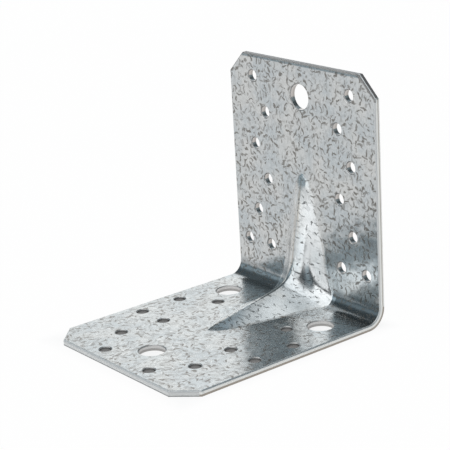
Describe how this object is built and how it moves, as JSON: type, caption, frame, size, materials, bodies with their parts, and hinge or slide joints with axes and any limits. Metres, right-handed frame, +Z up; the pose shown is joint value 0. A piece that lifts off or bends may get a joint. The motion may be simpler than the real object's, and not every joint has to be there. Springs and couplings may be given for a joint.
{
  "type": "angle bracket",
  "caption": "Galvanised steel angle bracket folded from one sheet, with cropped corners, nail and bolt holes, and a hollow rib pressed across the fold.",
  "frame": {"origin": "middle of the underside: centre of the width, half way from the back face to the front edge, on the plane the base leg stands on", "axes": "+X across the width, +Y to the back face of the upright leg, +Z up along the upright leg"},
  "size_m": [0.09, 0.105, 0.105],
  "materials": {
    "galvanised_steel": "hot-dip galvanised, pale grey with short dark flecks, semi-gloss"
  },
  "bodies": {
    "root": {"angle_bracket": "galvanised_steel"}
  },
  "joints": []
}
